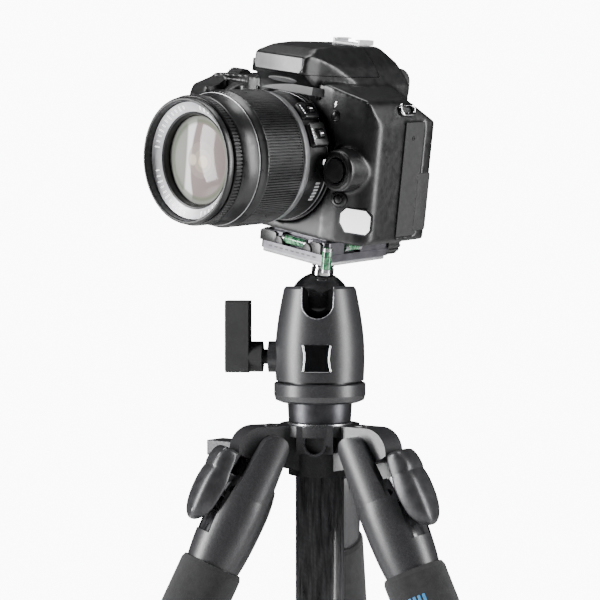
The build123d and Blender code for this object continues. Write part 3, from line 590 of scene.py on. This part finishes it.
def front_details(shell, head):
    def from_front(x, z, tree=shell, lift=0.0):
        return stick(tree, CAMERA_FRAME, (x, -110, z), FRONT, lift=lift)

    plate = [(-15.5, -3.9), (15.5, -3.9), (17.0, -1.0), (16.2, 3.6), (-16.2, 3.6), (-17.0, -1.0)]
    slab("hump_plate", plate, from_front(0, 87.0, head), -1.2, 0.45, 0.3, "flash", PALE_BLACK)
    brow = [(-25.0, -5.0), (25.0, -5.0), (24.0, 1.0), (21.0, 4.4), (-21.0, 4.4), (-24.0, 1.0)]
    slab("mirror_box_plate", brow, from_front(0, 73.2), -3.0, 1.1, 0.5, "camera", GREY_PLATE)
    for side in (-1, 1):
        screw(f"brow_screw_{side + 1}", from_front(21.0 * side, 71.7, lift=1.1), 1.1, "camera")
    # A pale ellipse along the brow under the flash lip: a painted highlight.
    glow = [(10 * math.cos(a), 1.7 * math.sin(a)) for a in (math.tau * k / 40 for k in range(40))]
    slab("brow_painted_highlight", glow, from_front(0, 78.6), -1.0, 0.4, 0.2, "camera", PALE_BLACK)

    button = from_front(33.0, 64.0) @ Matrix.Diagonal((0.82, 1, 1, 1))
    ring = [(2.9, -0.8), (2.9, 0.45), (2.6, 0.6), (2.3, 0.45), (2.3, -0.8)]
    lathe("flash_button_ring", ring, button, "camera", DARK, steps=48)
    cap = [(2.2, -0.8), (2.2, 0.7), (1.7, 1.1), (0.9, 1.3), (0.02, 1.35), (0.02, -0.8)]
    lathe("flash_button", cap, button, "camera", SATIN, steps=48)
    bolt = [(-0.15, 1.6), (0.75, 1.6), (0.25, 0.3), (0.8, 0.3), (-0.5, -1.7), (-0.1, -0.2), (-0.7, -0.2)]
    slab("flash_mark", bolt, from_front(32.6, 69.6), -0.2, 0.08, 0.02, "camera", WHITE)

    boss = axes_matrix(CAMERA_PORT, CAMERA_UP, -CAMERA_BACK, CAMERA_FRAME @ Vector((42.4, -50.0, 38.0)))
    collar = [(8.4, -0.9), (8.2, 0.15), (7.4, 0.3), (6.6, 0.0), (6.35, -0.8), (6.35, -2.4), (8.4, -2.4)]
    lathe("release_collar", collar, boss @ Matrix.Scale(MM, 4), "camera", SATIN, steps=80)
    small = from_front(39.2, 22.6)
    surround = [(4.6, -3.0), (4.4, 0.4), (3.6, 1.3), (2.6, 1.5), (2.4, -0.5), (2.4, -3.0)]
    lathe("preview_surround", surround, small, "camera", SATIN, steps=64)
    cap = [(2.2, -3.0), (2.2, 1.2), (1.8, 1.8), (0.8, 2.1), (0.02, 2.1), (0.02, -3.0)]
    lathe("preview_button", cap, small, "camera", DARK, steps=48)
    label = [(-8.0, -1.5), (-5.0, -6.0), (6.2, -6.0), (8.2, -3.6), (8.2, 3.4), (5.4, 6.0), (-5.2, 6.0), (-8.0, 3.0)]
    seat = from_front(48.6, 12.6)
    slab("label_edge", [(1.1 * x, 1.13 * y) for x, y in label], seat, -1.5, 0.22, 0.1, "camera", DARK)
    slab("label_blank", label, seat, -1.5, 0.34, 0.14, "camera", WHITE)
    lamp = [(1.7, -1.0), (1.7, 0.3), (1.1, 0.8), (0.02, 0.95), (0.02, -1.0)]
    lathe("timer_lamp", lamp, from_front(-40.0, 66.0), "camera", DARK, steps=40)


def side_details(shell):
    rubber = LOOKS["rubber_black"]
    cover = surface_of(NODES["port_cover"])
    screw("side_screw", stick(cover, CAMERA_FRAME, (110, -6.0, 54.4), SIDE), 1.2, "port")
    door = rounded_outline(9.8, 30.0, 1.4)
    seat = stick(shell, CAMERA_FRAME, (110, 5.4, 21.0), SIDE)
    gap = [(1.05 * x, 1.02 * y) for x, y in door]
    slab("card_door_gap", gap, seat, -1.0, 0.06, 0.03, "camera", DARK)
    slab("card_door", door, seat, -1.0, 0.25, 0.2, "camera", rubber)
    grip_side = stick(shell, CAMERA_FRAME, (-110, -16.0, 34.0), (1, 0, 0))
    pad = rounded_outline(40.0, 50.0, 6.0)
    slab("grip_pad", pad, grip_side, -1.2, 0.22, 0.2, "camera", rubber)
    bar = rounded_outline(32.0, 1.6, 0.8)
    for row in range(7):
        rib = grip_side @ Matrix.Translation((0, -18.0 + 6.0 * row, 0))
        slab(f"grip_rib_{row}", bar, rib, 0.0, 0.4, 0.15, "camera", rubber)
    lug = stick(shell, CAMERA_FRAME, (74.5, 12.5, 119.0), (-0.377, -0.392, -0.838))
    well = [(1.12 * x, 1.2 * y) for x, y in rounded_outline(10.2, 4.6, 2.3)]
    slab("strap_lug_well", well, lug, -2.0, 0.12, 0.08, "camera", DARK)
    loop = [(x, y, 1.3) for x, y in rounded_outline(10.6, 5.0, 2.4)]
    bent_rod("strap_lug", loop, 0.85, lug, "camera", LOOKS["chrome"], closed=True)


def top_details(shell):
    for index in range(3):
        above = (-34.5 - 3.0 * index, 6.0 - 9.0 * index, 160)
        seat = stick(shell, CAMERA_FRAME, above, DOWN, up=(0, 1, 0))
        cap = [(2.3, -1.0), (2.3, 0.8), (1.8, 1.2), (0.02, 1.3), (0.02, -1.0)]
        lathe(f"top_button_{index}", cap, seat, "camera", SATIN, steps=40)
    for index in range(12):
        angle = math.radians(30 * index)
        mark = [(-0.25, -0.9), (0.25, -0.9), (0.25, 0.9), (-0.25, 0.9)]
        dial = CAMERA_FRAME @ Matrix.Translation((-48, -8, 83.6)) @ Matrix.Rotation(angle, 4, "Z")
        seat = dial @ Matrix.Translation((0, 8.2, 0))
        slab(f"dial_tick_{index}", mark, seat, -0.3, 0.08, 0.03, "mode", WHITE)


def back_details(shell):
    def from_back(x, z):
        return stick(shell, CAMERA_FRAME, (x, 110, z), BACK)

    screen = from_back(13.0, 33.5)
    slab("screen_frame", rounded_outline(64, 50, 3), screen, -1.5, 0.9, 0.6, "camera", SATIN)
    slab("screen", rounded_outline(53, 40, 1.2), screen, -1.0, 1.05, 0.1, "camera", SCREEN)
    spots = [(-29, 60), (-41, 60), (-31, 49), (-55, 66), (-65, 64), (-29, 14), (-40, 14)]
    for index, (x, z) in enumerate(spots):
        cap = [(2.7, -1.0), (2.7, 0.9), (2.2, 1.3), (0.02, 1.4), (0.02, -1.0)]
        lathe(f"rear_button_{index}", cap, from_back(x, z), "camera", SATIN, steps=40)
    pad = from_back(-38, 32)
    ring = [(9.6, -1.0), (9.6, 0.7), (8.8, 1.2), (4.8, 1.0), (4.4, 0.4), (4.4, -1.0)]
    lathe("rear_pad", ring, pad, "camera", SATIN, steps=72)
    centre = [(4.0, -1.0), (4.0, 1.0), (3.4, 1.5), (0.02, 1.6), (0.02, -1.0)]
    lathe("rear_set", centre, pad, "camera", DARK, steps=48)
    thumb = rounded_outline(17, 26, 7)
    slab("thumb_pad", thumb, from_back(-62, 38), -2.0, 1.0, 0.9, "camera", LOOKS["rubber_black"])
    window = rounded_outline(22, 11, 3)
    eye = CAMERA_FRAME @ axes_matrix((-1, 0, 0), (0, 0, 1), (0, 1, 0), (0, 24.0, 77.8))
    slab("eyepiece_glass", window, eye, -3.0, 0.4, 0.3, "camera", SCREEN)


# ---- lens ----
def lens_pieces():
    black = LOOKS["lens_black"]
    rear = [
        (27.2, 0.1), (31.6, 0.1), (32.1, 1.0), (32.4, 1.7), (33.0, 2.4), (33.0, 14.6), (32.7, 15.0),
        (29.4, 15.0), (29.4, 49.0), (28.4, 49.0), (28.4, 4.0),
    ]
    lathe("rear_barrel", rear, LENS_FRAME, "camera", black, replaced=["lens_barrel"])
    band = [(29.4, 15.0), (33.1, 15.0), (33.5, 15.3), (33.9, 17.2), (33.9, 18.8), (33.5, 19.3), (29.4, 19.3)]
    lathe("silver_band", band, LENS_FRAME, "camera", BAND)
    flange = [(27.6, -3.4), (33.6, -3.4), (34.0, -3.0), (34.0, -0.4), (33.6, -0.05), (27.6, -0.05)]
    lathe("mount_flange", flange, LENS_FRAME, "camera", SATIN, replaced=["lens_mount_ring"])
    glint = [(32.2, 0.9), (33.0, 1.4), (33.15, 1.7), (33.0, 2.0), (32.2, 2.2)]
    lathe("mount_glint", glint, LENS_FRAME, "camera", BAND)
    zoom = [(29.6, 19.6), (33.6, 19.6), (34.1, 20.0), (34.25, 20.5), (34.25, 21.2)]
    zoom += [(34.25, 21.4, 0.55), (34.25, 44.6, 0.55), (34.25, 44.8), (34.25, 45.4)]
    zoom += [(34.0, 45.8), (33.4, 46.8), (33.1, 48.4), (32.8, 49.0), (29.6, 49.2)]
    lathe("zoom_grip", zoom, LENS_FRAME, "zoom", black, ribs=150, replaced=["zoom_ring"])
    head = [
        (26.6, 12.0), (27.8, 12.0), (27.8, 49.6), (32.4, 49.6), (32.8, 50.2), (32.5, 51.2), (31.9, 54.0),
        (31.6, 57.4), (31.9, 59.4), (31.6, 60.0), (29.7, 60.0), (29.7, 65.4), (30.5, 65.4), (31.0, 65.8),
        (31.1, 67.8), (30.8, 68.6), (30.2, 69.0), (29.4, 69.0), (29.0, 68.6), (28.9, 64.9), (28.7, 64.6),
        (23.6, 61.9), (23.4, 61.5), (23.4, 56.0), (26.6, 54.0),
    ]
    lathe("front_barrel", head, LENS_FRAME, "lens_front", black, replaced=["inner_barrel"])
    silver = [(28.6, 64.72), (28.55, 64.95), (23.9, 62.55), (23.7, 62.2), (24.0, 62.0)]
    lathe("lens_name_ring", silver, LENS_FRAME, "lens_front", NAME_RING)
    inner = [(23.9, 62.2), (23.7, 62.6), (22.9, 62.2), (22.2, 61.0), (22.2, 59.0), (23.7, 58.0)]
    lathe("inner_ring", inner, LENS_FRAME, "lens_front", DARK)
    focus = [(30.05, 60.4), (31.5, 60.4), (31.9, 60.8), (31.9, 61.0, 0.6)]
    focus += [(31.9, 64.4, 0.6), (31.9, 64.6), (31.5, 65.0), (30.05, 65.0)]
    lathe("focus_grip", focus, LENS_FRAME, "focus", black, ribs=110, replaced=["focus_ring"])
    line = [(32.6, 49.75), (33.0, 49.85), (33.05, 50.05), (33.0, 50.25), (32.6, 50.4)]
    lathe("barrel_glint", line, LENS_FRAME, "lens_front", BAND)

    for index in range(56):
        if index % 14 in (0, 1, 2):
            continue
        spin = LENS_FRAME @ Matrix.Rotation(math.tau * index / 56, 4, "Z") @ Matrix.Translation((26.3, 0, 63.78))
        lean = spin @ Matrix.Rotation(math.radians(-27), 4, "Y")
        high = 0.9 if index % 3 else 1.3
        tick = [(-high, -0.28), (high, -0.28), (high, 0.28), (-high, 0.28)]
        slab(f"ring_tick_{index}", tick, lean, -0.2, 0.06, 0.02, "lens_front", WHITE)

    dome = [(22.3, 58.6)]
    for step in range(25):
        angle = math.radians(21.8 * (1 - step / 24))
        dome.append((max(60 * math.sin(angle), 0.02), 60 * math.cos(angle) + 1.2))
    dome.append((0.02, 58.2))
    # The front element's colour is a painted reflection.
    glass = painted_reflection_element()
    element = lathe("front_element", dome, LENS_FRAME, "lens_front", glass, replaced=["front_glass"])
    back_to_lens = LENS_FRAME.inverted()
    spread = element.data.attributes.new("lens_place", "FLOAT_VECTOR", "POINT")
    for row, corner in zip(spread.data, element.data.vertices):
        row.vector = back_to_lens @ corner.co

    def on_barrel(angle, height):
        spin = LENS_FRAME @ Matrix.Rotation(math.radians(angle), 4, "Z") @ Matrix.Translation((33.0, 0, height))
        return spin @ Matrix.Rotation(math.radians(90), 4, "Y") @ Matrix.Rotation(math.radians(90), 4, "Z")

    for index, (angle, length) in enumerate(((50.0, 10.0), (27.0, 12.5))):
        block = on_barrel(angle, 8.2)
        key = block @ Matrix.Translation((0, -1.4, 0))
        for part, width, height, radius, seat, low, high, edge, look in (
            ("block", length, 11.4, 1.6, block, -2.2, 2.5, 0.9, black),
            ("slot", 5.6, 7.0, 0.8, block, 1.0, 2.56, 0.05, GLOSS),
            ("key", 3.4, 3.4, 0.6, key, 1.0, 3.1, 0.4, SATIN),
            ("mark", 0.5, 2.0, 0.2, key, 2.6, 3.15, 0.03, WHITE),
        ):
            outline = rounded_outline(width, height, radius)
            slab(f"switch_{part}_{index}", outline, seat, low, high, edge, "camera", look)
        outline = rounded_outline(0.9, 0.5, 0.1)
        for tick in range(4):
            spot = block @ Matrix.Translation((-2.4 + 1.6 * tick, 4.4, 0))
            slab(f"switch_tick_{index}_{tick}", outline, spot, 1.0, 2.56, 0.03, "camera", WHITE)
    outline = rounded_outline(2.6, 2.4, 0.3)
    slab("mount_index", outline, on_barrel(3.0, 3.9), -0.6, 0.2, 0.08, "camera", WHITE)
    outline = rounded_outline(1.1, 3.2, 0.3)
    for index in range(6):
        spot = on_barrel(-16.0 - 3.4 * index, 6.4)
        slab(f"barrel_bar_{index}", outline, spot, -0.6, 0.12, 0.05, "camera", PALE_MARK)
    outline = rounded_outline(0.8, 1.5, 0.2)
    for index in range(5):
        spot = on_barrel(78.0 + 3.2 * index, 47.2)
        slab(f"zoom_number_{index}", outline, spot, -1.2, 0.3, 0.05, "zoom", PALE_MARK)


# ---- platform and head ----
def platform_details():
    for name, middle, turn, length, radius in (
        ("front", (1.0, -28.9, -7.8), Matrix.Rotation(math.radians(90), 4, "Y"), 9.0, 2.3),
        ("side", (23.2, -10.0, -7.8), Matrix.Rotation(math.radians(90), 4, "X"), 6.2, 2.1),
        ("corner", (25.6, -31.6, -12.5), Matrix.Identity(4), 6.5, 2.6),
    ):
        matrix = CAMERA_FRAME @ Matrix.Translation(middle) @ turn
        for end in (-1, 1):
            cap = [(radius + 0.2, -1.1), (radius + 0.2, 0.6), (radius - 0.1, 0.9), (0.02, 0.9), (0.02, -1.1)]
            spot = matrix @ Matrix.Translation((0, 0, end * (length - 0.9)))
            lathe(f"vial_cap_{name}_{end + 1}", cap, spot, "camera", PALE_METAL, steps=40)
            mark = [(radius + 0.02, -0.16), (radius + 0.1, -0.16), (radius + 0.1, 0.16), (radius + 0.02, 0.16)]
            spot = matrix @ Matrix.Translation((0, 0, end * 1.7))
            lathe(f"vial_mark_{name}_{end + 1}", mark, spot, "camera", DARK, steps=40)
    tray = [(-22.2, -25.0), (22.4, -25.0), (23.3, -22.6), (23.3, 23.4)]
    tray += [(21.4, 25.0), (-22.2, 25.0), (-23.2, 23.4), (-23.2, -23.6)]
    below = CAMERA_FRAME @ Matrix.Translation((-0.4, -4.9, 0)) @ Matrix.Diagonal((1, 1, -1, 1))
    slab("clear_tray", tray, below, 15.0, 17.4, 0.8, "camera", SILVER)
    for side, (low, high) in enumerate(((-24.3, -11.6), (12.6, 21.0))):
        wall = [(low, -10.9), (high, -10.9), (high, -5.6), (high - 1.6, -4.7), (low + 1.6, -4.7), (low, -5.6)]
        middle = (low + high) / 2
        face = CAMERA_FRAME @ axes_matrix((1, 0, 0), (0, 0, 1), (0, -1, 0), (middle, -30.4, -7.8))
        cheek = [(x - middle, z + 7.8) for x, z in wall]
        slab(f"jaw_cheek_{side}", cheek, face, -0.5, 1.3, 0.6, "camera", SATIN)
    for side in (-1, 1):
        arch = []
        for step in range(13):
            angle = math.radians(15 * step)
            arch.append((3.4 * math.cos(angle), 4.0 * math.sin(angle) - 3.0))
        face = CAMERA_FRAME @ axes_matrix((1, 0, 0), (0, 0, 1), (0, -1, 0), (1.0 + side * 10.4, -30.6, -7.4))
        slab(f"vial_arch_{side + 1}", arch, face, -0.5, 1.9, 0.5, "camera", DARK)
    outline = rounded_outline(2.2, 0.8, 0.2)
    for index in range(9):
        spot = CAMERA_FRAME @ axes_matrix((1, 0, 0), (0, 0, 1), (0, -1, 0), (-16.0 + 4.0 * index, -31.1, -13.0))
        slab(f"tray_mark_{index}", outline, spot, -0.4, 0.12, 0.05, "camera", DARK)


def head_details():
    tree = surface_of(NODES["ball_housing"])
    seat = stick(tree, HEAD_FRAME, (0, -80, -31.9), FRONT)
    badge = []
    for x_side in (1, -1):
        for step in range(9):
            t = step / 8 * 2 - 1
            badge.append((x_side * (6.9 - 0.7 * (1 - t * t)), -x_side * -7.3 * t))
    slab("badge_plate", rounded_outline(14.2, 14.6, 1.4), seat, -2.6, 0.4, 0.3, "housing", GLOSS)
    slab("badge_face", badge, seat, 0.0, 0.55, 0.15, "housing", GLOSS)
    for side in (-1, 1):
        arc = [(side * (7.5 - 0.9 * (1 - (k / 5 - 1) ** 2)), 7.0 * (k / 5 - 1), 0.2) for k in range(11)]
        bent_rod(f"badge_edge_{side + 1}", arc, 0.5, seat, "housing", LOOKS["chrome"])
        top = [(6.4 * (k / 5 - 1), side * 7.2, 0.25) for k in range(11)]
        bent_rod(f"badge_rim_{side + 1}", top, 0.26, seat, "housing", LOOKS["polished_metal"])
    half, bottom = 8.45, -2.4
    rim = [(-half, 6.0), (-half, 2.0), (-half, bottom)]
    for step in range(1, 12):
        angle = math.radians(180 + 15 * step)
        rim.append((half * math.cos(angle), bottom + half * math.sin(angle)))
    rim += [(half, bottom), (half, 2.0), (half, 6.0)]
    path = []
    for x, z in rim:
        spot = tree.ray_cast(HEAD_FRAME @ Vector((x * 1.02, -80, z)), HEAD_FRAME.to_3x3() @ Vector((0, 1, 0)))[0]
        if spot is not None:
            path.append(HEAD_FRAME.inverted() @ spot)
    bent_rod("notch_rim", path, 0.22, HEAD_FRAME, "housing", PALE_METAL)
    foot = Matrix.Translation((0, 0, HEAD_DATUM)) @ Matrix.Scale(MM, 4)
    ring = [(16.2, -70.6), (17.6, -70.6), (18.0, -70.1), (17.8, -69.5), (16.2, -69.3)]
    lathe("collar_ring", ring, foot @ Matrix.Translation((0, 0, 1.2)), "stand", PALE_METAL)


def crown_details():
    hub = Matrix.Translation((0, 0, HEAD_DATUM)) @ Matrix.Scale(MM, 4)
    outline = rounded_outline(8.0, 6.4, 2.2)
    for index, azimuth in enumerate((90, 210, 330)):
        arm = hub @ Matrix.Rotation(math.radians(azimuth), 4, "Z")
        pad = arm @ Matrix.Translation((29.0, 0, -69.0))
        slab(f"arm_pad_{index}", outline, pad, -0.8, 0.5, 0.3, "stand", LOOKS["casting"])
        screw(f"arm_screw_{index}", arm @ Matrix.Translation((29.0, 0, -68.4)), 1.8, "stand")


def latch_paddle(name):
    """A domed paddle with a step under its top block; it hugs the yoke's barrel below the step."""
    # Height, half width, and the near and far faces' distances from the leg's axis.
    stations = [
        (-8.6, 5.4, 18.6, 22.0), (-8.9, 8.0, 17.9, 23.6), (-10.0, 9.4, 17.2, 25.0), (-13.0, 10.0, 16.6, 26.4),
        (-17.0, 10.4, 16.4, 27.2), (-20.0, 10.6, 16.4, 27.3), (-21.0, 10.7, 16.5, 26.5), (-22.0, 10.9, 16.8, 26.9),
        (-26.0, 11.4, 17.2, 27.8), (-31.0, 11.6, 17.5, 28.1), (-37.0, 11.3, 18.0, 28.1), (-42.0, 10.3, 18.5, 27.6),
        (-46.0, 8.6, 19.1, 26.8), (-49.0, 6.2, 20.0, 25.6), (-50.8, 3.4, 21.2, 24.2), (-51.3, 1.2, 22.2, 23.2),
    ]
    corners = []
    outer, inner = 30, 16
    for height, half, near, far in stations:
        hug = min(max((-20.0 - height) / 6.0, 0.0), 1.0) * min(max((height + 51.0) / 9.0, 0.0), 1.0)

        def floor_at(y):
            return near * (1 - hug) + max(math.sqrt(17.3 ** 2 - y * y), near - 1.6) * hug

        for step in range(outer):
            angle = math.pi * step / (outer - 1)
            y = half * math.copysign(abs(math.cos(angle)) ** 0.62, math.cos(angle))
            low = floor_at(half)
            corners.append((low + (far - low) * math.sin(angle) ** 0.62, y, height))
        for step in range(1, inner):
            y = -half + 2 * half * step / inner
            corners.append((floor_at(y), y, height))
    faces = ring_faces(outer + inner - 1, len(stations))
    frame_matrix, body, node = leg_frame(name), f"leg_{name}_stop", f"leg_{name}_latch"
    paddle = place_piece(f"latch_paddle_{name}", corners, faces, frame_matrix, body, LATCH, 60, [node])
    round_up = paddle.modifiers.new("round", "SUBSURF")
    round_up.levels = 2
    round_up.render_levels = 2
    lug = [(4.0, -7.8), (4.2, -7.4), (4.2, 7.4), (4.0, 7.8), (0.02, 7.8), (0.02, -7.8)]
    pin = frame_matrix @ Matrix.Translation((11.0, 0, -28.0)) @ Matrix.Rotation(math.radians(90), 4, "X")
    lathe(f"latch_eye_{name}", lug, pin, body, LATCH, steps=48)
    web = frame_matrix @ axes_matrix((0, 0, 1), (1, 0, 0), (0, 1, 0), (15.0, 0, -27.0))
    slab(f"latch_web_{name}", rounded_outline(13, 8, 1), web, -7.6, 7.6, 0.6, body, LATCH)


def leg_details():
    soft_skin("knob_skin", ["column_lock_knob"], "column_knob", KNOB, 0.5, 8)
    for name in "abc":
        latch_paddle(name)
    frame_b = leg_frame("b")
    tree = surface_of(NODES["leg_b_grip"])
    for index in range(7):
        angle = math.radians(-104 + 8.6 * index)
        start = (60 * math.cos(angle), 60 * math.sin(angle), -85.0)
        seat = stick(tree, frame_b, start, (-math.cos(angle), -math.sin(angle), 0))
        slab(f"grip_bar_{index}", rounded_outline(1.6, 5.2, 0.5), seat, -0.5, 0.14, 0.08, "leg_b", BLUE)


def ease_edges():
    """Small rounded edges on the CAD pieces that show as they are."""
    sharp = ["spider_casting", "lock_lever", "clamp_body", "ball_housing", "pan_base", "port_cover"]
    sharp += ["hot_shoe", "quick_plate", "mode_dial", "control_dial", "clamp_knob", "eyecup"]
    sharp += [f"leg_{name}_yoke" for name in "abc"]
    for node in sharp:
        edge = NODES[node].modifiers.new("edge", "BEVEL")
        edge.width = 0.35 * MM
        edge.segments = 2
        edge.limit_method = "ANGLE"
        edge.angle_limit = math.radians(38)
        edge.use_clamp_overlap = True


# ---- camera, light and floor ----
def add_viewpoint():
    data = bpy.data.cameras.new("viewpoint")
    data.lens = 87.67
    data.sensor_width = 36.0
    viewpoint = bpy.data.objects.new("viewpoint", data)
    viewpoint.location = (0.1102, -0.7985, HEAD_DATUM + 0.01397)
    viewpoint.rotation_euler = (math.radians(88.938), 0, math.radians(8.637))
    SCENE.collection.objects.link(viewpoint)
    SCENE.camera = viewpoint


def add_soft_box(name, place, aim, size, power):
    data = bpy.data.lights.new(name, "AREA")
    data.shape = "RECTANGLE"
    data.size, data.size_y = size
    data.energy = power
    lamp = bpy.data.objects.new(name, data)
    lamp.location = place
    lamp.rotation_euler = (Vector(aim) - Vector(place)).to_track_quat("-Z", "Y").to_euler()
    SCENE.collection.objects.link(lamp)


def add_studio():
    aim = (0, 0, HEAD_DATUM)
    add_soft_box("left_box", (-1.15, -0.55, HEAD_DATUM + 0.25), aim, (0.38, 1.4), 54)
    add_soft_box("right_box", (1.25, -0.25, HEAD_DATUM + 0.2), aim, (0.36, 1.4), 33)
    add_soft_box("top_box", (0.0, 0.1, HEAD_DATUM + 1.3), aim, (0.9, 0.7), 15)
    world = bpy.data.worlds.new("studio")
    world.use_nodes = True
    tree = world.node_tree
    shade = tree.nodes["Background"]
    shade.inputs["Color"].default_value = (0.3, 0.3, 0.305, 1)
    shade.inputs["Strength"].default_value = 0.06
    backdrop = tree.nodes.new("ShaderNodeBackground")
    backdrop.inputs["Color"].default_value = (0.97, 0.97, 0.975, 1)
    backdrop.inputs["Strength"].default_value = 11.0
    path = tree.nodes.new("ShaderNodeLightPath")
    choice = tree.nodes.new("ShaderNodeMixShader")
    tree.links.new(path.outputs["Is Camera Ray"], choice.inputs[0])
    tree.links.new(shade.outputs[0], choice.inputs[1])
    tree.links.new(backdrop.outputs[0], choice.inputs[2])
    tree.links.new(choice.outputs[0], tree.nodes["World Output"].inputs["Surface"])
    SCENE.world = world


def add_floor():
    mesh = bpy.data.meshes.new("floor")
    reach = 1.4
    corners = [(-reach, -reach, 0), (reach, -reach, 0), (reach, reach, 0), (-reach, reach, 0)]
    mesh.from_pydata(corners, [], [(0, 1, 2, 3)])
    floor = bpy.data.objects.new("floor", mesh)
    look = Shader("pale_floor", (0.82, 0.82, 0.82), 0.6)
    look.colour(look.blend(look.noise(400.0, 2.0), (0.8, 0.8, 0.8), (0.84, 0.84, 0.84)))
    mesh.materials.append(look.material)
    SCENE.collection.objects.link(floor)


dress_frame()
shell_surface, head_surface = body_skins()
front_details(shell_surface, head_surface)
side_details(shell_surface)
top_details(shell_surface)
back_details(shell_surface)
lens_pieces()
platform_details()
head_details()
crown_details()
leg_details()
ease_edges()
add_viewpoint()
add_studio()
add_floor()
